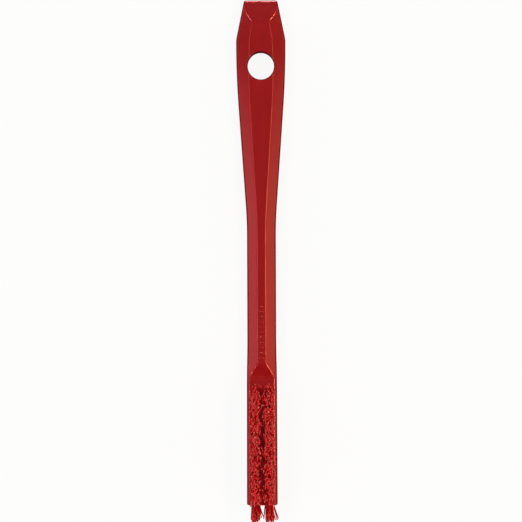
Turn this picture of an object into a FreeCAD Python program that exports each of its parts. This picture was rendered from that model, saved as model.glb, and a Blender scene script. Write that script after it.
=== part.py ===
import FreeCAD, Part
import math
import os

# Narrow hand brush: one moulded handle and head, two rows of bristle tufts on the head's face, and a flat
# wire anchor at the bottom of each tuft hole. Sizes are in millimetres. The brush lies on its back: +X runs
# from the head to the hanging end, +Y across and +Z out of the bristle face. The origin is on the resting
# plane, halfway along the whole brush. A station is a distance from the head's end.

# Body: lengths
body_length = 198.3
end_taper_length = 15.3  # from the widest place to the hanging end
grip_curve_length = 27.7  # curved stretch up to the widest place
grip_taper_length = 37.3  # straight sides of the grip
neck_curve_length = 12.6  # curved stretch from the neck into the grip
shoulder_length = 11.9  # the head eases into the neck

# Body: widths
head_width = 12.0
head_narrowing = 0.25  # the head is slimmer by this much where it meets the shoulder
neck_width = 11.25
grip_width = 19.3
end_width = 13.0
neck_flat_width = 3.4
grip_flat_width = 9.0
end_flat_width = 3.6
grip_flat_swell = 1.25  # the flat would be wider by this much before it closes towards the end

# Body: section
thickness = 11.0
bevel_depth = 2.4  # height of the long bevels, front and back
side_draft = 0.35  # each side leans in by this much from the parting line to a bevel
head_thickness = 9.0
ramp_length = 5.1  # slope from the neck's flat down to the head
wedge_length = 8.0  # slanted facets at the hanging end
wedge_drop = 3.7

# Body: eased corners
corner_blend = 0.6
widest_blend = 1.0
shoulder_blend = 4.0
slope_blend = 0.9

# Hanging hole
hole_diameter = 10.4
hole_from_end = 25.8
hole_rim_radius = 0.5

# Plain raised bars on the neck's flat
bar_count = 11
bar_pitch = 2.0
bar_length = 1.9
bar_width = 0.7
bar_height = 0.15
bars_from_ramp = 1.8

# Tufts
tufts_in_row = 9
tuft_hole_diameter = 3.2
wall_between_tufts = 2.0
wall_between_rows = 2.3
front_tuft_from_end = 2.5
front_tuft_room = 0.3  # more room behind the leaning front tuft
bare_head = 4.6  # smooth head between the last tuft hole and the ramp
tuft_hole_depth = 6.0
front_hole_depth = 4.7
free_length = 14.5
tip_gap = 1.0  # between the tips of upright neighbours
root_clearance = 0.03
forward_leans = (33.0, 10.0, 4.0)  # degrees, from the front tuft back; the others are upright

# Anchors: flat wire across the tuft holes
anchor_length = 3.9
anchor_height = 1.9
anchor_wire = 0.4
anchor_from_bottom = 0.8

tuft_pitch = tuft_hole_diameter + wall_between_tufts
row_offset = (tuft_hole_diameter + wall_between_rows) / 2
tip_radius = (tuft_pitch - tip_gap) / 2
last_tuft = front_tuft_from_end + front_tuft_room + (tufts_in_row - 1) * tuft_pitch
head_length = last_tuft + tuft_hole_diameter / 2 + bare_head
front_lean = math.radians(forward_leans[0])
tip_reach = (
    free_length * math.sin(front_lean) + tip_radius * math.cos(front_lean) - front_tuft_from_end
)
head_end_x = (tip_reach - body_length) / 2
UP = FreeCAD.Vector(0, 0, 1)
ACROSS = FreeCAD.Vector(0, 1, 0)
ORIGIN = FreeCAD.Vector(0, 0, 0)


def at(station, y, z):
    return FreeCAD.Vector(head_end_x + station, y, z)


def eased_wire(corners):
    """A closed wire through corners, each a point and the length over which an arc eases it."""
    stretches = []
    for i, (corner, blend) in enumerate(corners):
        back = (corners[i - 1][0] - corner).normalize()
        on = (corners[(i + 1) % len(corners)][0] - corner).normalize()
        start = corner + back * blend
        stop = corner + on * blend
        half = back.getAngle(on) / 2
        if blend == 0:
            curve = None
        elif half > math.radians(89.99):
            curve = Part.LineSegment(start, stop).toShape()
        else:
            inward = (back + on).normalize()
            crown = corner + inward * (blend / math.cos(half) - blend * math.tan(half))
            curve = Part.Arc(start, crown, stop).toShape()
        stretches.append((start, curve, stop))
    edges = []
    for i, (start, curve, stop) in enumerate(stretches):
        if curve:
            edges.append(curve)
        edges.append(Part.LineSegment(stop, stretches[(i + 1) % len(stretches)][0]).toShape())
    return Part.Wire(edges)


def outline(z, head, shoulder, neck, swell, grip, end):
    """The body's outline at height z, from its widths at the head's end, where the head meets the
    shoulder, along the neck, where the grip's sides would cross, at the widest place and at the end."""
    widest = body_length - end_taper_length
    neck_end = widest - grip_curve_length - grip_taper_length - neck_curve_length
    side = [
        (0, head, corner_blend),
        (head_length, shoulder, shoulder_blend),
        (head_length + shoulder_length, neck, shoulder_blend),
        (neck_end + neck_curve_length / 2, neck, neck_curve_length / 2),
        (widest - grip_curve_length / 2, swell, grip_curve_length / 2 - 2 * widest_blend),
        (widest, grip, widest_blend),
        (body_length, end, corner_blend),
    ]
    right = [(at(s, -width / 2, z), blend) for s, width, blend in side]
    left = [(at(s, width / 2, z), blend) for s, width, blend in reversed(side)]
    return eased_wire(right + left)


def flat_outline(z):
    return outline(
        z,
        neck_flat_width,
        neck_flat_width,
        neck_flat_width,
        grip_flat_width + grip_flat_swell,
        grip_flat_width,
        end_flat_width,
    )


def side_outline(z, inset):
    widths = (head_width, head_width - head_narrowing, neck_width, grip_width, grip_width, end_width)
    return outline(z, *[width - 2 * inset for width in widths])


def side_profile():
    """The body seen from the side: resting plane, wedges at the hanging end, ramp and lower head."""
    beyond = 1.0
    slope = wedge_drop / wedge_length
    wedge = body_length - wedge_length
    tip = body_length + beyond
    drop = slope * (wedge_length + beyond)
    corners = [
        (-beyond, 0, 0),
        (wedge, 0, slope_blend),
        (tip, drop, 0),
        (tip, thickness - drop, 0),
        (wedge, thickness, slope_blend),
        (head_length + ramp_length, thickness, slope_blend),
        (head_length, head_thickness, slope_blend),
        (-beyond, head_thickness, 0),
    ]
    wire = eased_wire([(at(s, -grip_width, z), blend) for s, z, blend in corners])
    return Part.Face(wire).extrude(ACROSS * 2 * grip_width)


def hanging_hole():
    """The hole through the grip with a rounded rim at both faces: the shape that is cut away."""
    radius = hole_diameter / 2
    rim = hole_rim_radius
    ease = rim * (1 - math.sqrt(0.5))
    lower = [(radius + rim, -rim), (radius + rim, 0), (radius + ease, ease), (radius, rim)]
    upper = [(r, thickness - z) for r, z in reversed(lower)]
    points = [FreeCAD.Vector(r, 0, z) for r, z in [(0, -rim), *lower, *upper, (0, thickness + rim)]]
    edges = [
        Part.LineSegment(points[0], points[1]),
        Part.LineSegment(points[1], points[2]),
        Part.Arc(points[2], points[3], points[4]),
        Part.LineSegment(points[4], points[5]),
        Part.Arc(points[5], points[6], points[7]),
        Part.LineSegment(points[7], points[8]),
        Part.LineSegment(points[8], points[9]),
        Part.LineSegment(points[9], points[0]),
    ]
    face = Part.Face(Part.Wire([edge.toShape() for edge in edges]))
    face.translate(at(body_length - hole_from_end, 0, 0))
    return face.revolve(at(body_length - hole_from_end, 0, 0), UP, 360)


def raised_bar(number):
    station = head_length + ramp_length + bars_from_ramp + bar_pitch * number
    corner = at(station, -bar_length / 2, thickness - bar_height)
    return Part.makeBox(bar_width, bar_length, 2 * bar_height, corner)


def body():
    levels = [
        flat_outline(0),
        side_outline(bevel_depth, side_draft),
        side_outline(thickness / 2, 0),
        side_outline(thickness - bevel_depth, side_draft),
        flat_outline(thickness),
    ]
    solid = Part.makeLoft(levels, True, True).common(side_profile())
    return solid.cut(hanging_hole()).fuse([raised_bar(i) for i in range(bar_count)])


def tuft_place(number):
    """Station, forward lean in degrees and hole depth of a tuft, counted from the head's end."""
    if number == 0:
        return front_tuft_from_end, forward_leans[0], front_hole_depth
    lean = forward_leans[number] if number < len(forward_leans) else 0.0
    return front_tuft_from_end + front_tuft_room + number * tuft_pitch, lean, tuft_hole_depth


def placed(shape, row, number):
    """A shape made about a hole's mouth, moved to its hole: row is -1 or 1."""
    station, lean, _ = tuft_place(number)
    shape.rotate(ORIGIN, ACROSS, -lean)
    shape.translate(at(station, row * row_offset, head_thickness))
    return shape


def tuft_hole(row, number):
    """A blind hole along the tuft's lean, cut from far enough outside to clear the head's face."""
    depth = tuft_place(number)[2]
    length = depth + tuft_hole_diameter
    bottom = FreeCAD.Vector(0, 0, -depth)
    return placed(Part.makeCylinder(tuft_hole_diameter / 2, length, bottom), row, number)


def anchor(row, number):
    """A staple of flat wire across the hole, standing just off its bottom."""
    depth = tuft_place(number)[2]
    corner = FreeCAD.Vector(-anchor_wire / 2, -anchor_length / 2, anchor_from_bottom - depth)
    return placed(Part.makeBox(anchor_wire, anchor_length, anchor_height, corner), row, number)


def tuft(row, number):
    """A bundle of filaments folded round its anchor: straight in the hole, then opening to its tips."""
    _, lean, depth = tuft_place(number)
    root_radius = tuft_hole_diameter / 2 - root_clearance
    mouth = root_radius * math.tan(math.radians(lean))
    root = Part.makeCylinder(root_radius, depth + mouth, FreeCAD.Vector(0, 0, -depth))
    brush = Part.makeCone(root_radius, tip_radius, free_length - mouth, FreeCAD.Vector(0, 0, mouth))
    bundle = placed(root.fuse(brush).removeSplitter(), row, number)
    return bundle.cut(anchor(row, number))


def write(name, shape):
    shape.exportStep(os.path.join("parts", name + ".step"))


os.makedirs("parts", exist_ok=True)
holes = [tuft_hole(row, number) for row in (-1, 1) for number in range(tufts_in_row)]
anchors = {row: [anchor(row, number) for number in range(tufts_in_row)] for row in (-1, 1)}
handle = body().cut(holes).cut(anchors[-1] + anchors[1])
write("handle_block", handle)
for side, row in (("right", -1), ("left", 1)):
    write("anchors_" + side, Part.makeCompound(anchors[row]))
    for number in range(tufts_in_row):
        write("tuft_" + side + "_" + str(number + 1), tuft(row, number))
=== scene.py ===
import math
import random

import bmesh
import bpy
import numpy as np
from mathutils import Matrix, Vector


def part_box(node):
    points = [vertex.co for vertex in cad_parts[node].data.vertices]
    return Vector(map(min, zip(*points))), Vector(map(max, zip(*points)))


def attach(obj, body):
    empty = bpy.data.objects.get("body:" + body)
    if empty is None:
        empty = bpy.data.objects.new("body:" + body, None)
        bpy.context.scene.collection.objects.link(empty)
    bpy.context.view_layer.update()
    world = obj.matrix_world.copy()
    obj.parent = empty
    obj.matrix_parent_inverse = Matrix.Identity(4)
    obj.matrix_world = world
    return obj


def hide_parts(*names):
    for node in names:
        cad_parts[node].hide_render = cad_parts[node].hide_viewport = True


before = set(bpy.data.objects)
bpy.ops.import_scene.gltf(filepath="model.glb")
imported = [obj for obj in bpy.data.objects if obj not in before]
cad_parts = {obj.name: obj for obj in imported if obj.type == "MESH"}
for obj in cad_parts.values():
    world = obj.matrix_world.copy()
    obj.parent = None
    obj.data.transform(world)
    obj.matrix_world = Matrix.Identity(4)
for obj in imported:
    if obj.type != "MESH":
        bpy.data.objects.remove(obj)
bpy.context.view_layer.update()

# A narrow hand brush: one moulded handle with a slim head, and two rows of bristle tufts. Shapes are worked
# out in millimetres, at stations counted from the head's end, and placed in the frame in metres.
MM = 0.001
body_low, body_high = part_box("handle_block")
HEAD_END = body_low.x
BODY_LENGTH = (body_high.x - body_low.x) / MM
GRIP_WIDTH = (body_high.y - body_low.y) / MM

# Body, as the frame's handle has it, with the slanted end facets a little longer
THICKNESS = 11.0
HEAD_WIDTH = 12.0
HEAD_NARROWING = 0.25
NECK_WIDTH = 11.25
END_WIDTH = 13.0
NECK_FLAT = 3.4
GRIP_FLAT = 9.0
GRIP_FLAT_SWELL = 1.25
END_FLAT = 3.6
BEVEL_DEPTH = 2.4
SIDE_DRAFT = 0.35
HEAD_THICKNESS = 9.0
RAMP_LENGTH = 5.1
WEDGE_LENGTH = 8.6
WEDGE_DROP = 4.0
SHOULDER_LENGTH = 11.9
END_TAPER = 15.3
GRIP_CURVE = 27.7
GRIP_TAPER = 37.3
NECK_CURVE = 12.6
SLOPE_BLEND = 0.9
EDGE_RADIUS = 0.55
RIDGE_RADIUS = 1.0
END_RADIUS = 0.65
SEAM_HEIGHT = 0.03
SEAM_HALF = 0.12
HEAD_EASE = 4.0
STATION_GAP = 2.5
MERGE_DISTANCE = 0.0005

# Hanging hole and the plain raised bars
HOLE_RADIUS = 5.2
HOLE_FROM_END = 25.8
HOLE_RIM = 0.5
HOLE_EDGE = 0.14
HOLE_SIDES = 144
EDGE_STEPS = 5
BAR_COUNT = 11
BAR_PITCH = 2.0
BAR_LENGTH = 1.9
BAR_WIDTH = 0.7
BAR_HEIGHT = 0.28
BAR_ROUNDING = 0.25
BARS_FROM_RAMP = 1.8

# Tufts
TUFTS_IN_ROW = 9
TUFT_HOLE = 3.2
TUFT_HOLE_SIDES = 40
CUT_BEYOND_FACE = 1.5
TUFT_PITCH = 5.2
ROW_OFFSET = 2.75
FRONT_FROM_END = 2.5
FRONT_ROOM = 0.3
BARE_HEAD = 4.6
FREE_LENGTH = 14.5
LEANS = (33.0, 10.0, 4.0)
HOLE_DEPTH = 6.0
FRONT_HOLE_DEPTH = 4.7
ANCHOR_LENGTH = 3.9
ANCHOR_HEIGHT = 1.9
ANCHOR_WIRE = 0.4
ANCHOR_FROM_BOTTOM = 0.8
FILAMENT_RADIUS = 0.22
FILAMENTS = 54
FILAMENT_SIDES = 8
FILAMENT_STEPS = 11
FILAMENT_CHAMFER = 0.05
CLIPPED_END_SHARE = 0.8
ROOT_RADIUS = 1.36

# How the filaments of worn tufts stand: shares of the filaments, and angles in degrees
TIP_BEND_POWER = 1.8
BEND_SPREAD = 26
FRONT_BEND_SPREAD = 10
HEADING_SPREAD = 7
CROSSING_SHARE = 0.12
BENT_SHARE = 0.36
BENT_ANGLES = (30, 55)
LYING_SHARE = 0.08
LYING_ANGLES = (65, 80)
LAST_FORWARD_SHARE = 0.75
LAST_BACK_LIMIT = 14
STRAY_EVERY = 18
STRAY_SPLAY = (0.14, 0.2)

# Studio, in metres, with the camera straight above
CAMERA_HEIGHT = 1.5
CAMERA_ALONG = 0.09594
CAMERA_ACROSS = 0.0002
CAMERA_TURN = 0.2
SENSOR = 36
VIEW_LENGTH = 0.20525
WALL_GLOW = 0.9
FLOOR_BOUNCE = 0.01
FLOOR_REACH = 4
FLOOR_DROP = 0.0001
FILL_LIGHT = 0.2
WHITE = (1.0, 1.0, 1.0)
WARM = (1.0, 0.95, 0.55)
PALE_WARM = (1.0, 0.95, 0.7)
COOL = (1.0, 0.97, 1.05)

HEAD_LENGTH = FRONT_FROM_END + FRONT_ROOM + (TUFTS_IN_ROW - 1) * TUFT_PITCH + TUFT_HOLE / 2 + BARE_HEAD
WIDEST = BODY_LENGTH - END_TAPER
NECK_TURN = WIDEST - GRIP_CURVE - GRIP_TAPER - NECK_CURVE / 2
GRIP_TURN = WIDEST - GRIP_CURVE / 2
MIDDLE = THICKNESS / 2


def corners_of(head, shoulder, neck, swell, grip, end):
    """Half widths along the brush: station, half width, and the length that eases the corner."""
    return [
        (0, head / 2, 0),
        (HEAD_LENGTH, shoulder / 2, HEAD_EASE),
        (HEAD_LENGTH + SHOULDER_LENGTH, neck / 2, HEAD_EASE),
        (NECK_TURN, neck / 2, NECK_CURVE / 2),
        (GRIP_TURN, swell / 2, GRIP_CURVE / 2 - 2),
        (WIDEST, grip / 2, 1.0),
        (BODY_LENGTH, end / 2, 0),
    ]


SIDE = corners_of(HEAD_WIDTH, HEAD_WIDTH - HEAD_NARROWING, NECK_WIDTH, GRIP_WIDTH, GRIP_WIDTH, END_WIDTH)
FLAT = corners_of(NECK_FLAT, NECK_FLAT, NECK_FLAT, GRIP_FLAT + GRIP_FLAT_SWELL, GRIP_FLAT, END_FLAT)
TOP = [
    (0, HEAD_THICKNESS, 0),
    (HEAD_LENGTH, HEAD_THICKNESS, SLOPE_BLEND),
    (HEAD_LENGTH + RAMP_LENGTH, THICKNESS, SLOPE_BLEND),
    (BODY_LENGTH - WEDGE_LENGTH, THICKNESS, SLOPE_BLEND),
    (BODY_LENGTH, THICKNESS - WEDGE_DROP, 0),
]
BOTTOM = [
    (0, 0, 0),
    (BODY_LENGTH - WEDGE_LENGTH, 0, SLOPE_BLEND),
    (BODY_LENGTH, WEDGE_DROP, 0),
]


def eased(station, corners):
    """The profile's value at a station: straight runs whose corners are eased by a parabola."""
    value = float(np.interp(station, [c[0] for c in corners], [c[1] for c in corners]))
    for before, here, after in zip(corners, corners[1:], corners[2:]):
        reach = here[2] - abs(station - here[0])
        if reach > 0:
            turn = (after[1] - here[1]) / (after[0] - here[0]) - (here[1] - before[1]) / (here[0] - before[0])
            value += turn * reach * reach / (4 * here[2])
    return value


def line(a, b, inset):
    """The line from a to b, moved inwards: its outward normal and its distance along it."""
    across = Vector((b[1] - a[1], a[0] - b[0])).normalized()
    return across, across.dot(Vector(a)) - inset


def crossing(first, second):
    (n, c), (m, d) = first, second
    det = n.x * m.y - n.y * m.x
    return Vector(((c * m.y - d * n.y) / det, (n.x * d - m.x * c) / det))


def quarter(half_width, half_flat, top, inset):
    """A quarter of the section as (y, height above the parting line), from the parting line up to the
    middle of the face, with rounded edges."""
    parting = (half_width, 0)
    edge = (half_width - SIDE_DRAFT, MIDDLE - BEVEL_DEPTH)
    ridge = (half_flat, MIDDLE)
    side = line(parting, edge, inset + EDGE_RADIUS)
    bevel = line(edge, ridge, inset)
    up = Vector((0, 1))
    low = crossing(side, line(edge, ridge, inset + EDGE_RADIUS))
    first = low + bevel[0] * EDGE_RADIUS
    room = (crossing(bevel, (up, top - inset)) - first).length
    radius = max(EDGE_RADIUS, min(RIDGE_RADIUS, room / math.tan(bevel[0].angle(up) / 2)))
    high = crossing(line(edge, ridge, inset + radius), (up, top - inset - radius))
    if high.y + (radius - EDGE_RADIUS) * bevel[0].y < low.y:
        radius = EDGE_RADIUS
        low = high = crossing(side, (up, top - inset - radius))
        first = low + bevel[0] * radius
    points = [Vector((half_width - inset + SEAM_HEIGHT, 0))]
    start = Vector((half_width - inset, 0)) + (Vector(edge) - Vector(parting)).normalized() * SEAM_HALF
    points += [start.lerp(low + side[0] * EDGE_RADIUS, k / 3) for k in range(3)]
    points += arc(low, side[0], bevel[0], EDGE_RADIUS)
    last = high + bevel[0] * radius
    points += [first.lerp(last, k / 4) for k in range(1, 4)]
    points += arc(high, bevel[0], up, radius)
    last = high + up * radius
    points += [last.lerp(Vector((0, last.y)), k / 4) for k in range(1, 4)]
    return points


def arc(centre, start, stop, radius, steps=6):
    angle = start.angle_signed(stop)
    return [centre + Matrix.Rotation(-angle * k / steps, 2) @ start * radius for k in range(steps + 1)]


def section(station):
    """The closed section at a station as (y, z) points, counted from the right-hand parting line."""
    from_end = min(station, BODY_LENGTH - station)
    depth = max(0.0, END_RADIUS - from_end)
    inset = END_RADIUS - math.sqrt(max(0.0, END_RADIUS**2 - depth**2))
    half_width = eased(station, SIDE)
    half_flat = eased(station, FLAT)
    upper = quarter(half_width, half_flat, eased(station, TOP) - MIDDLE, inset)
    lower = quarter(half_width, half_flat, MIDDLE - eased(station, BOTTOM), inset)
    top = [(p.x, MIDDLE + p.y) for p in upper]
    low = [(p.x, MIDDLE - p.y) for p in lower[1:]]
    mirrored = [(-y, z) for y, z in top[::-1]] + [(-y, z) for y, z in low]
    return top + [(0.0, top[-1][1])] + mirrored + [(0.0, low[-1][1])] + low[::-1]


def stations():
    """Where the sections stand: close together at every eased corner and at both rounded ends."""
    marks = {0.0, BODY_LENGTH}
    for k in range(7):
        step = END_RADIUS * (1 - math.cos(math.radians(15 * k)))
        marks.update((step, BODY_LENGTH - step))
    for profile in (SIDE, FLAT, TOP):
        for at, _, blend in profile[1:-1]:
            count = 8 if blend < 2 else 12
            marks.update(at + blend * (2 * k / count - 1) for k in range(count + 1))
    marks = sorted(marks)
    filled = [marks[0]]
    for mark in marks[1:]:
        gap = mark - filled[-1]
        if gap < 0.02:
            continue
        pieces = max(1, math.ceil(gap / STATION_GAP))
        filled += [filled[-1] + gap * k / pieces for k in range(1, pieces + 1)]
    filled[-1] = BODY_LENGTH
    return filled


def make_object(name, mesh):
    made = bpy.data.objects.new(name, mesh)
    bpy.context.collection.objects.link(made)
    return made


def join_rings(mesh, here, after):
    """Quads between two rings of as many points."""
    count = len(here)
    for k in range(count):
        j = (k + 1) % count
        mesh.faces.new((here[k], here[j], after[j], after[k]))


def handle_skin():
    """The moulding as one closed skin of quads through its sections."""
    mesh = bmesh.new()
    rings = []
    for station in stations():
        x = HEAD_END + station * MM
        rings.append([mesh.verts.new((x, y * MM, z * MM)) for y, z in section(station)])
    for here, after in zip(rings, rings[1:]):
        join_rings(mesh, here, after)
    mesh.faces.new(reversed(rings[0]))
    mesh.faces.new(rings[-1])
    bmesh.ops.remove_doubles(mesh, verts=mesh.verts, dist=MERGE_DISTANCE * MM)
    bmesh.ops.recalc_face_normals(mesh, faces=mesh.faces)
    return mesh


def combined(mesh, tools, operation):
    """The mesh with closed tool shapes added to it or cut from it: operation is UNION or DIFFERENCE."""
    pair = []
    for name, shapes in (("body", [mesh]), ("tools", tools)):
        gathered = bmesh.new()
        for shape in shapes:
            part = bpy.data.meshes.new("part")
            shape.to_mesh(part)
            gathered.from_mesh(part)
        whole = bpy.data.meshes.new(name)
        gathered.to_mesh(whole)
        pair.append(make_object(name, whole))
    body, tool = pair
    step = body.modifiers.new("step", "BOOLEAN")
    step.operation = operation
    step.solver = "EXACT"
    step.use_self = len(tools) > 1
    step.object = tool
    seen = body.evaluated_get(bpy.context.evaluated_depsgraph_get())
    result = bmesh.new()
    result.from_mesh(seen.to_mesh())
    bpy.data.objects.remove(body)
    bpy.data.objects.remove(tool)
    return result


def cylinder(radius, low, high, sides):
    mesh = bmesh.new()
    bmesh.ops.create_cone(
        mesh, cap_ends=True, segments=sides, radius1=radius, radius2=radius, depth=high - low
    )
    bmesh.ops.translate(mesh, verts=mesh.verts, vec=(0, 0, (high + low) / 2))
    return mesh


def face_height(x, y):
    """Height of the front face above the parting line at a point of the grip, in millimetres."""
    station = (x - HEAD_END) / MM
    half_width = eased(station, SIDE) - SIDE_DRAFT
    half_flat = eased(station, FLAT)
    down = BEVEL_DEPTH * max(0.0, abs(y / MM) - half_flat) / (half_width - half_flat)
    return MIDDLE - down


def hanging_hole(mesh):
    """Cuts the hanging hole: softened edges, then walls that draw in to a fine parting line."""
    centre = Vector((HEAD_END + (BODY_LENGTH - HOLE_FROM_END) * MM, 0, 0))
    outer = HOLE_RADIUS + HOLE_RIM
    plug = cylinder(outer * MM, -5 * MM, 20 * MM, HOLE_SIDES)
    bmesh.ops.translate(plug, verts=plug.verts, vec=centre)
    mesh = combined(mesh, [plug], "DIFFERENCE")

    def off_wall(vertex):
        return abs((vertex.co - centre).to_2d().length / MM - outer)

    walls = [f for f in mesh.faces if abs(f.normal.z) < 0.5 and max(map(off_wall, f.verts)) < 0.002]
    bmesh.ops.delete(mesh, geom=walls, context="FACES")
    rim = {v for e in mesh.edges if len(e.link_faces) == 1 for v in e.verts}
    last_rows = []
    for upward in (1, -1):
        loop = [v for v in rim if (v.co.z > MIDDLE * MM) == (upward > 0)]
        loop.sort(key=lambda v: math.atan2(v.co.y, v.co.x - centre.x))
        rows = [loop] + [[] for _ in range(EDGE_STEPS + 1)]
        for vertex in loop:
            direction = (vertex.co - centre).to_2d().normalized()
            radius, slope = hole_edge(centre, direction, outer)
            places = []
            for k in range(1, EDGE_STEPS + 1):
                turn = math.pi / 2 - slope + (math.pi / 2 + slope) * k / EDGE_STEPS
                out = outer + radius * (math.cos(turn) - math.sin(slope))
                rise = radius * (math.sin(turn) - math.cos(slope))
                places.append((out, vertex.co.z + upward * rise * MM))
            places.append((HOLE_RADIUS, (MIDDLE + upward * SEAM_HALF) * MM))
            for row, (out, z) in zip(rows[1:], places):
                spot = direction * out * MM
                row.append(mesh.verts.new((centre.x + spot.x, spot.y, z)))
        for here, after in zip(rows, rows[1:]):
            join_rings(mesh, here, after)
        last_rows.append(rows[-1])
    seam = []
    for k in range(HOLE_SIDES):
        turn = 2 * math.pi * k / HOLE_SIDES
        spot = centre + Vector((math.cos(turn), math.sin(turn), 0)) * (HOLE_RADIUS - SEAM_HEIGHT) * MM
        seam.append(mesh.verts.new((spot.x, spot.y, MIDDLE * MM)))
    seam_edges = [mesh.edges.new((seam[k - 1], seam[k])) for k in range(HOLE_SIDES)]
    for row in last_rows:
        row_edges = [mesh.edges.get((row[k - 1], row[k])) for k in range(len(row))]
        bmesh.ops.bridge_loops(mesh, edges=row_edges + seam_edges)
    bmesh.ops.recalc_face_normals(mesh, faces=mesh.faces)
    return mesh


def hole_edge(centre, direction, outer):
    """Radius of the hole's softened edge and the face's slope, where the hole's edge meets the face."""
    step = 0.5
    near, far = [
        face_height(centre.x + direction.x * r * MM, direction.y * r * MM) for r in (outer, outer + step)
    ]
    slope = math.atan2(near - far, step)
    return HOLE_EDGE / (1 + math.sin(slope)), slope


def box_shape(length, width, height, centre, rounding=0.0):
    """A closed box as a bmesh, with its vertical and top edges rounded."""
    mesh = bmesh.new()
    bmesh.ops.create_cube(mesh, size=1)
    bmesh.ops.scale(mesh, verts=mesh.verts, vec=(length, width, height))
    if rounding:
        edges = [e for e in mesh.edges if max(v.co.z for v in e.verts) > 0]
        bmesh.ops.bevel(mesh, geom=edges, offset=rounding, segments=3, profile=0.5, affect="EDGES")
    bmesh.ops.translate(mesh, verts=mesh.verts, vec=centre)
    return mesh


def raised_bars():
    """A short scale of plain bars across the neck, next to the head."""
    first = HEAD_LENGTH + RAMP_LENGTH + BARS_FROM_RAMP + BAR_WIDTH / 2
    bars = []
    for k in range(BAR_COUNT):
        centre = Vector((HEAD_END + (first + k * BAR_PITCH) * MM, 0, THICKNESS * MM))
        size = (BAR_WIDTH * MM, BAR_LENGTH * MM, 2 * BAR_HEIGHT * MM)
        bars.append(box_shape(*size, centre, BAR_ROUNDING * MM))
    return bars


def tuft_place(number):
    """Station, forward lean in degrees and hole depth of a tuft, counted from the head's end."""
    if number == 0:
        return FRONT_FROM_END, LEANS[0], FRONT_HOLE_DEPTH
    lean = LEANS[number] if number < len(LEANS) else 0.0
    return FRONT_FROM_END + FRONT_ROOM + number * TUFT_PITCH, lean, HOLE_DEPTH


def hole_frame(row, number):
    """Places a shape made about a tuft hole's mouth: row is -1 or 1."""
    station, lean, _ = tuft_place(number)
    mouth = (HEAD_END + station * MM, row * ROW_OFFSET * MM, HEAD_THICKNESS * MM)
    return Matrix.Translation(mouth) @ Matrix.Rotation(math.radians(-lean), 4, "Y")


def tuft_pocket(row, number):
    """The blind hole of a tuft, with the slot that its anchor was driven into."""
    depth = tuft_place(number)[2]
    hole = cylinder(TUFT_HOLE / 2 * MM, -depth * MM, CUT_BEYOND_FACE * MM, TUFT_HOLE_SIDES)
    middle = (ANCHOR_FROM_BOTTOM + ANCHOR_HEIGHT / 2 - depth) * MM
    slot = box_shape(ANCHOR_WIRE * MM, ANCHOR_LENGTH * MM, ANCHOR_HEIGHT * MM, (0, 0, middle))
    for shape in (hole, slot):
        bmesh.ops.transform(shape, matrix=hole_frame(row, number), verts=shape.verts)
    return [hole, slot]


def handle():
    mesh = hanging_hole(combined(handle_skin(), raised_bars(), "UNION"))
    pockets = [shape for row in (-1, 1) for k in range(TUFTS_IN_ROW) for shape in tuft_pocket(row, k)]
    mesh = combined(mesh, pockets, "DIFFERENCE")
    data = bpy.data.meshes.new("handle")
    mesh.to_mesh(data)
    data.polygons.foreach_set("use_smooth", [True] * len(data.polygons))
    data.set_sharp_from_angle(angle=math.radians(40))
    piece = make_object("handle", data)
    shading = piece.modifiers.new("even_shading", "WEIGHTED_NORMAL")
    shading.keep_sharp = True
    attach(piece, "root")
    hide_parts("handle_block")
    return piece


# Bristle tufts
def filament_line(root, start, length, splay, bend, heading):
    """Points up a filament: straight in its hole, then splayed, and bent over more and more to its tip.
    The angles are in radians: splay leans it away from the tuft's middle, bend turns its tip, and heading
    is the way that the tip turns, 0 towards the hanging end."""
    points = [Vector((root.x, root.y, start)), Vector((root.x, root.y, 0))]
    step = length / FILAMENT_STEPS
    for k in range(FILAMENT_STEPS):
        turn = bend * ((k + 0.5) / FILAMENT_STEPS) ** TIP_BEND_POWER
        slant = Vector((math.tan(splay.x), math.tan(splay.y), 1)).normalized()
        ahead = slant * math.cos(turn) + Vector((math.cos(heading), math.sin(heading), 0)) * math.sin(turn)
        points.append(points[-1] + ahead.normalized() * step)
    return points


def add_filament(mesh, points, tone, tone_layer, height_layer):
    """A round filament along its points, with a clipped end whose edge is slightly broken."""
    rings = []
    side = Vector((1, 0, 0))
    for k, point in enumerate(points):
        ahead = points[min(k + 1, len(points) - 1)] - points[max(k - 1, 0)]
        ahead.normalize()
        side = (side - ahead * side.dot(ahead)).normalized()
        rings.append((point, side.copy(), ahead.cross(side), FILAMENT_RADIUS))
    point, side, other, _ = rings[-1]
    rings.append((point + ahead * FILAMENT_CHAMFER, side, other, FILAMENT_RADIUS * CLIPPED_END_SHARE))
    made = []
    for point, side, other, radius in rings:
        ring = []
        for k in range(FILAMENT_SIDES):
            turn = 2 * math.pi * k / FILAMENT_SIDES
            place = point + (side * math.cos(turn) + other * math.sin(turn)) * radius
            vertex = mesh.verts.new(place * MM)
            vertex[tone_layer] = tone
            vertex[height_layer] = max(0.0, point.z / FREE_LENGTH)
            ring.append(vertex)
        made.append(ring)
    for here, after in zip(made, made[1:]):
        join_rings(mesh, here, after)
    mesh.faces.new(reversed(made[0]))
    mesh.faces.new(made[-1])


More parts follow.
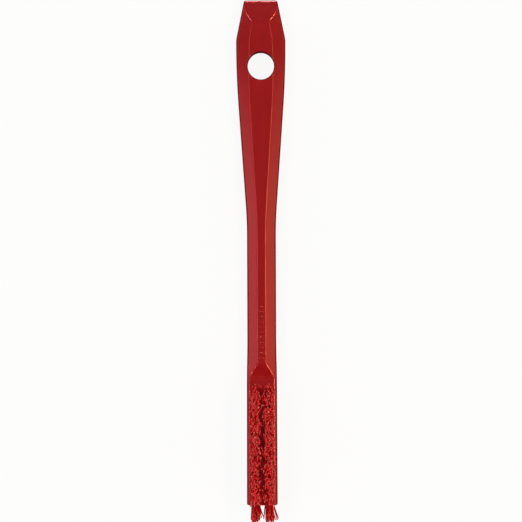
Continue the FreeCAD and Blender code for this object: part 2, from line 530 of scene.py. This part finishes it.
def filament_habit(rng, row, root, front, last, stray):
    """How a filament stands, drawn at random: its splay, its bend and heading, and its free length."""
    splay = Vector((root.x * 0.065 + rng.gauss(0, 0.03), root.y * 0.03 + rng.gauss(0, 0.015)))
    if rng.random() < CROSSING_SHARE:
        splay.y -= row * rng.uniform(0.02, 0.1)
    if stray:
        splay.y = rng.choice((-1, 1)) * rng.uniform(*STRAY_SPLAY)
    bend = abs(rng.gauss(0, math.radians(FRONT_BEND_SPREAD if front else BEND_SPREAD)))
    kind = rng.random()
    if kind < BENT_SHARE and not front:
        bend = math.radians(rng.uniform(*BENT_ANGLES))
    elif kind < BENT_SHARE + LYING_SHARE and not front:
        bend = math.radians(rng.uniform(*LYING_ANGLES))
    forward = rng.random() < (LAST_FORWARD_SHARE if last else 0.5)
    if last and not forward:
        bend = min(bend, math.radians(LAST_BACK_LIMIT))
    heading = rng.gauss(math.pi if forward else 0, math.radians(HEADING_SPREAD))
    length = FREE_LENGTH + rng.uniform(-0.3, 0.1) - (rng.random() ** 2 * 3.0 + 0.8 if front else 0)
    return splay, bend, heading, length


def bristle_tuft(row, number):
    """One tuft: filaments packed in their hole that open out to their tips, mostly along the brush."""
    rng = random.Random(1000 * (row + 2) + number)
    front = number == 0
    last = number == TUFTS_IN_ROW - 1
    start = ANCHOR_FROM_BOTTOM + ANCHOR_HEIGHT - tuft_place(number)[2]
    mesh = bmesh.new()
    tone_layer = mesh.verts.layers.float.new("tone")
    height_layer = mesh.verts.layers.float.new("height")
    for k in range(FILAMENTS):
        reach = ROOT_RADIUS * math.sqrt((k + 0.5) / FILAMENTS)
        turn = k * math.pi * (3 - math.sqrt(5)) + number
        root = Vector((reach * math.cos(turn), reach * math.sin(turn)))
        stray = front and k % STRAY_EVERY == 5
        splay, bend, heading, length = filament_habit(rng, row, root, front, last, stray)
        points = filament_line(root, start, length, splay, bend, heading)
        # The front tufts take only low tones: painted shade that keeps them darker, with less of the painted
        # tip highlight.
        tone = rng.random() * (0.4 if front else 1.0)
        add_filament(mesh, points, tone, tone_layer, height_layer)
    bmesh.ops.transform(mesh, matrix=hole_frame(row, number), verts=mesh.verts)
    side = "left" if row > 0 else "right"
    name = f"bristles_{side}_{number + 1}"
    data = bpy.data.meshes.new(name)
    mesh.to_mesh(data)
    data.polygons.foreach_set("use_smooth", [True] * len(data.polygons))
    data.set_sharp_from_angle(angle=math.radians(50))
    piece = make_object(name, data)
    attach(piece, "root")
    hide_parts(f"tuft_{side}_{number + 1}")
    return piece


# Finishes
def group(name, inputs, outputs):
    """An empty shader group with named sockets, and its nodes for wiring."""
    tree = bpy.data.node_groups.new(name, "ShaderNodeTree")
    for label, kind, value in inputs:
        socket = tree.interface.new_socket(name=label, in_out="INPUT", socket_type=kind)
        if value is not None:
            socket.default_value = value
    for label, kind in outputs:
        tree.interface.new_socket(name=label, in_out="OUTPUT", socket_type=kind)
    return tree, tree.nodes.new("NodeGroupInput"), tree.nodes.new("NodeGroupOutput")


def noise(tree, vector, scale, detail=2.0, roughness=0.5):
    """Smooth random values from 0 to 1: scale is in cells per metre."""
    node = tree.nodes.new("ShaderNodeTexNoise")
    node.inputs["Scale"].default_value = scale
    node.inputs["Detail"].default_value = detail
    node.inputs["Roughness"].default_value = roughness
    tree.links.new(vector, node.inputs["Vector"])
    return node.outputs["Fac"]


def math_node(tree, operation, *values):
    """A Math node whose values are numbers or sockets."""
    node = tree.nodes.new("ShaderNodeMath")
    node.operation = operation
    for socket, value in zip(node.inputs, values):
        if isinstance(value, (int, float)):
            socket.default_value = value
        else:
            tree.links.new(value, socket)
    return node.outputs[0]


def ranged(tree, value, low, high, to_low, to_high):
    """A value brought from one range to another."""
    node = tree.nodes.new("ShaderNodeMapRange")
    tree.links.new(value, node.inputs["Value"])
    for label, number in (("From Min", low), ("From Max", high), ("To Min", to_low), ("To Max", to_high)):
        node.inputs[label].default_value = number
    return node.outputs["Result"]


def moulding_texture_group():
    """Surface of an injection moulding: a fine even texture, long flow waves and faint handling scuffs."""
    tree, start, end = group(
        "moulding_texture",
        [("Position", "NodeSocketVector", None), ("Texture", "NodeSocketFloat", 1.0)],
        [("Height", "NodeSocketFloat"), ("Mottle", "NodeSocketFloat"), ("Scuff", "NodeSocketFloat")],
    )
    place = start.outputs["Position"]
    fine = noise(tree, place, 2600.0, 2.0)
    peel = noise(tree, place, 700.0, 1.0)
    stretch = tree.nodes.new("ShaderNodeVectorMath")
    stretch.operation = "MULTIPLY"
    stretch.inputs[1].default_value = (0.2, 1.0, 1.0)
    tree.links.new(place, stretch.inputs[0])
    flow = noise(tree, stretch.outputs[0], 260.0, 2.0)
    scratch = noise(tree, stretch.outputs[0], 3200.0, 3.0, 0.7)
    patches = noise(tree, place, 90.0, 2.0)
    textured = math_node(tree, "MULTIPLY", fine, start.outputs["Texture"])
    height = math_node(tree, "ADD", textured, math_node(tree, "MULTIPLY", peel, 0.8))
    tree.links.new(height, end.inputs["Height"])
    waves = math_node(tree, "MULTIPLY", flow, 0.6)
    mottle = math_node(tree, "ADD", waves, math_node(tree, "MULTIPLY", patches, 0.4))
    tree.links.new(mottle, end.inputs["Mottle"])
    scuffed = math_node(tree, "MULTIPLY", ranged(tree, scratch, 0.55, 0.75, 0.0, 1.0), patches)
    tree.links.new(scuffed, end.inputs["Scuff"])
    return tree


def new_material(name):
    material = bpy.data.materials.new(name)
    material.use_nodes = True
    return material, material.node_tree, material.node_tree.nodes["Principled BSDF"]


def colour_ramp(tree, value, stops):
    node = tree.nodes.new("ShaderNodeValToRGB")
    elements = node.color_ramp.elements
    while len(elements) < len(stops):
        elements.new(0.5)
    for element, (place, colour) in zip(elements, stops):
        element.position = place
        element.color = (*colour, 1)
    tree.links.new(value, node.inputs["Fac"])
    return node.outputs["Color"]


def placed_group(tree, shared, **values):
    node = tree.nodes.new("ShaderNodeGroup")
    node.node_tree = shared
    for label, value in values.items():
        node.inputs[label].default_value = value
    return node


def object_position(tree):
    return tree.nodes.new("ShaderNodeTexCoord").outputs["Object"]


def bump(tree, height, distance, strength, shader):
    node = tree.nodes.new("ShaderNodeBump")
    node.inputs["Distance"].default_value = distance
    node.inputs["Strength"].default_value = strength
    tree.links.new(height, node.inputs["Height"])
    tree.links.new(node.outputs["Normal"], shader.inputs["Normal"])


def red_moulding(texture):
    """Glossy moulded polypropylene, hardly mottled, duller where it is scuffed."""
    material, tree, shader = new_material("red_moulding")
    surface = placed_group(tree, texture, Texture=1.0)
    tree.links.new(object_position(tree), surface.inputs["Position"])
    shade = colour_ramp(
        tree,
        surface.outputs["Mottle"],
        [(0.35, (0.38, 0.007, 0.0095)), (0.65, (0.42, 0.0085, 0.0115))],
    )
    tree.links.new(shade, shader.inputs["Base Color"])
    shader.inputs["Specular IOR Level"].default_value = 1.0
    shader.inputs["Specular Tint"].default_value = (1.0, 0.2, 0.2, 1)
    gloss = ranged(tree, surface.outputs["Scuff"], 0.0, 1.0, 0.21, 0.36)
    tree.links.new(gloss, shader.inputs["Roughness"])
    bump(tree, surface.outputs["Height"], 0.00003, 0.12, shader)
    return material


def red_filament():
    """Drawn polyester filament: glossy along its length, each one a little lighter or darker, with paler tips
    that are partly whitened ends and partly painted highlight.
    """
    material, tree, shader = new_material("red_filament")
    shader.inputs["Specular IOR Level"].default_value = 1.0
    shader.inputs["Specular Tint"].default_value = (1.0, 0.65, 0.65, 1)
    shader.inputs["Subsurface Weight"].default_value = 0.8
    shader.inputs["Subsurface Radius"].default_value = (1.0, 0.3, 0.25)
    shader.inputs["Subsurface Scale"].default_value = 0.0006
    tone = tree.nodes.new("ShaderNodeAttribute")
    tone.attribute_name = "tone"
    height = tree.nodes.new("ShaderNodeAttribute")
    height.attribute_name = "height"
    streak = noise(tree, object_position(tree), 1500.0, 2.0)
    own = math_node(tree, "MULTIPLY", tone.outputs["Fac"], 0.6)
    mixed = math_node(tree, "ADD", own, math_node(tree, "MULTIPLY", streak, 0.4))
    shade = colour_ramp(tree, mixed, [(0.2, (0.84, 0.018, 0.024)), (0.8, (0.97, 0.032, 0.04))])
    # Paler tips near the top: partly whitening of the cut and bent filament ends, partly a painted highlight
    # on the tufts' tops.
    near_tip = ranged(tree, height.outputs["Fac"], 0.7, 1.0, 0.0, 1.0)
    pale_tip_share = ranged(tree, tone.outputs["Fac"], 0.5, 1.0, 0.15, 0.9)
    whitening_and_painted_highlight = math_node(tree, "MULTIPLY", near_tip, pale_tip_share)
    pale = tree.nodes.new("ShaderNodeMix")
    pale.data_type = "RGBA"
    tree.links.new(whitening_and_painted_highlight, pale.inputs["Factor"])
    tree.links.new(shade, pale.inputs["A"])
    pale.inputs["B"].default_value = (0.95, 0.12, 0.13, 1)
    tree.links.new(pale.outputs["Result"], shader.inputs["Base Color"])
    tree.links.new(ranged(tree, streak, 0.3, 0.7, 0.26, 0.36), shader.inputs["Roughness"])
    bump(tree, streak, 0.00002, 0.15, shader)
    return material


def anchor_wire():
    """Flat drawn steel, with fine lines along the wire."""
    material, tree, shader = new_material("anchor_wire")
    shader.inputs["Metallic"].default_value = 1.0
    stretch = tree.nodes.new("ShaderNodeVectorMath")
    stretch.operation = "MULTIPLY"
    stretch.inputs[1].default_value = (1.0, 0.1, 1.0)
    tree.links.new(object_position(tree), stretch.inputs[0])
    drawn = noise(tree, stretch.outputs[0], 4000.0, 3.0)
    shade = colour_ramp(tree, drawn, [(0.3, (0.46, 0.45, 0.43)), (0.7, (0.62, 0.61, 0.59))])
    tree.links.new(shade, shader.inputs["Base Color"])
    tree.links.new(ranged(tree, drawn, 0.3, 0.7, 0.28, 0.45), shader.inputs["Roughness"])
    bump(tree, drawn, 0.00002, 0.3, shader)
    return material


# Studio: large soft lights along both sides, and small ones that only gleam on edges
def shown_and_lit(tree, shown, lit, output):
    """Lets the camera see one shader, and every other ray the other one."""
    pick = tree.nodes.new("ShaderNodeMixShader")
    path = tree.nodes.new("ShaderNodeLightPath")
    tree.links.new(path.outputs["Is Camera Ray"], pick.inputs["Fac"])
    tree.links.new(lit.outputs[0], pick.inputs[1])
    tree.links.new(shown.outputs[0], pick.inputs[2])
    tree.links.new(pick.outputs[0], tree.nodes[output].inputs["Surface"])


def floor():
    """A white floor that glows to the eye, so that the brush's shadow stays faint."""
    mesh = bmesh.new()
    bmesh.ops.create_grid(mesh, x_segments=1, y_segments=1, size=FLOOR_REACH)
    data = bpy.data.meshes.new("floor")
    mesh.to_mesh(data)
    piece = make_object("floor", data)
    piece.location.z = -FLOOR_DROP
    material, tree, shader = new_material("floor")
    shader.inputs["Base Color"].default_value = (0.12, 0.12, 0.12, 1)
    shader.inputs["Roughness"].default_value = 0.8
    shader.inputs["Emission Color"].default_value = (1, 1, 1, 1)
    shader.inputs["Emission Strength"].default_value = WALL_GLOW
    shader.inputs["Specular IOR Level"].default_value = 0.0
    dull = tree.nodes.new("ShaderNodeBsdfDiffuse")
    dull.inputs["Color"].default_value = (FLOOR_BOUNCE, FLOOR_BOUNCE, FLOOR_BOUNCE, 1)
    shown_and_lit(tree, shader, dull, "Material Output")
    data.materials.append(material)


def soft_light(name, place, width, length, radiance, tint):
    """A rectangular light that faces the brush: width across and length along X, in metres."""
    light = bpy.data.lights.new(name, "AREA")
    light.shape = "RECTANGLE"
    light.size = length
    light.size_y = width
    light.energy = radiance * width * length * math.pi
    light.color = tint
    lamp = make_object(name, light)
    lamp.location = place
    lamp.visible_camera = False
    towards = Vector((0, 0, 0.005)) - Vector(place)
    lamp.rotation_euler = towards.to_track_quat("-Z", "Y").to_euler()
    return lamp


def glint(*settings):
    """A small bright light that only shows as a gleam along edges."""
    soft_light(*settings).visible_diffuse = False


def studio_lights():
    """The lamps of both sides, the right-hand ones warmer, and two at the hanging end."""
    for side, tint, low_tint, share in ((-1, WARM, PALE_WARM, 1.0), (1, COOL, WHITE, 0.5)):
        soft_light(f"top_{side}", (0.0, 0.5 * side, 1.25), 0.35, 1.0, 2.6 + share, tint)
        soft_light(f"low_{side}", (0.0, 1.15 * side, 0.34), 0.5, 2.4, 1.8, low_tint)
        glint(f"high_{side}", (-0.07, 0.65 * side, 1.126), 0.1, 0.2, 62.0 * share**2, tint)
        glint(f"neck_corner_{side}", (-0.549, 0.678 * side, 0.988), 0.1, 0.1, 300.0 * share**2, tint)
        glint(f"end_corner_{side}", (0.81, 0.58 * side, 0.92), 0.1, 0.1, 320.0 * share, tint)
    soft_light("end_glow", (1.0, 0.0, 0.14), 0.25, 0.6, 1.2, WHITE)
    glint("end_gleam", (1.4, 0.0, 0.22), 0.3, 0.3, 40.0, WHITE)


def studio_walls():
    """White all round to look at, yet dim enough to leave the lamps to shape the brush."""
    world = bpy.data.worlds.new("studio")
    world.use_nodes = True
    tree = world.node_tree
    seen = tree.nodes["Background"]
    seen.inputs["Color"].default_value = (1, 1, 1, 1)
    seen.inputs["Strength"].default_value = WALL_GLOW
    dim = tree.nodes.new("ShaderNodeBackground")
    dim.inputs["Color"].default_value = (1, 1, 1, 1)
    dim.inputs["Strength"].default_value = FILL_LIGHT
    shown_and_lit(tree, seen, dim, "World Output")
    bpy.context.scene.world = world


def camera():
    """A long lens straight above the brush, with the hanging end up."""
    data = bpy.data.cameras.new("camera")
    data.sensor_width = SENSOR
    data.lens = CAMERA_HEIGHT * SENSOR / VIEW_LENGTH
    data.clip_end = 50
    data.dof.use_dof = False
    view = make_object("camera", data)
    turn = math.radians(CAMERA_TURN)
    right = Vector((-math.sin(turn), -math.cos(turn), 0))
    up = Vector((math.cos(turn), -math.sin(turn), 0))
    place = Vector((HEAD_END + CAMERA_ALONG, CAMERA_ACROSS, MIDDLE * MM + CAMERA_HEIGHT))
    frame_axes = Matrix((right, up, Vector((0, 0, 1)))).transposed()
    view.matrix_world = Matrix.Translation(place) @ frame_axes.to_4x4()
    bpy.context.scene.camera = view


camera()
bpy.context.scene.view_settings.view_transform = "Standard"
studio_walls()
floor()
studio_lights()

red = red_moulding(moulding_texture_group())
handle().data.materials.append(red)
filament = red_filament()
for row in (-1, 1):
    for number in range(TUFTS_IN_ROW):
        bristle_tuft(row, number).data.materials.append(filament)
steel = anchor_wire()
for name in ("anchors_left", "anchors_right"):
    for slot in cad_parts[name].material_slots:
        slot.material = steel
